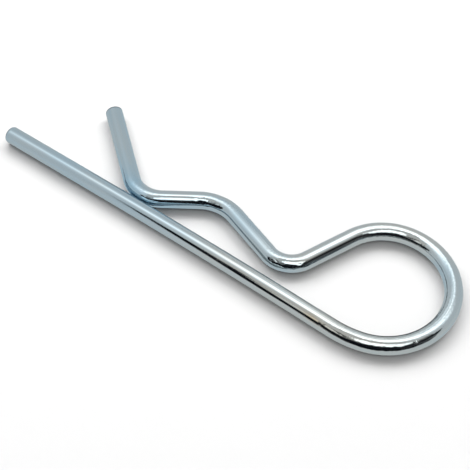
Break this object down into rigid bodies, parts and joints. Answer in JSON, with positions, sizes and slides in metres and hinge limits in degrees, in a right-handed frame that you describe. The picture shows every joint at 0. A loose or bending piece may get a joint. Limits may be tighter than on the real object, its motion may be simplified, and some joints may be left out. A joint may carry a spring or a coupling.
{
  "type": "hitch r clip pin",
  "caption": "Bent spring-wire R clip: a straight leg for a cross hole, a waved leg that grips round the shaft, a round eye to pull on and a flared lead-in.",
  "frame": {"origin": "centre of the shaft that the clip holds, on the axis of the straight leg, at half the wire's thickness", "axes": "+X along the straight leg from its tip to the eye, +Y from the straight leg to the waved leg, +Z square to the plane of the wire, which is also the axis of the shaft"},
  "size_m": [0.11, 0.0343, 0.004],
  "materials": {
    "zinc_wire": "bright zinc plate with a thin blue passivate on drawn spring wire"
  },
  "bodies": {
    "root": {"r_clip": "zinc_wire"}
  },
  "joints": []
}
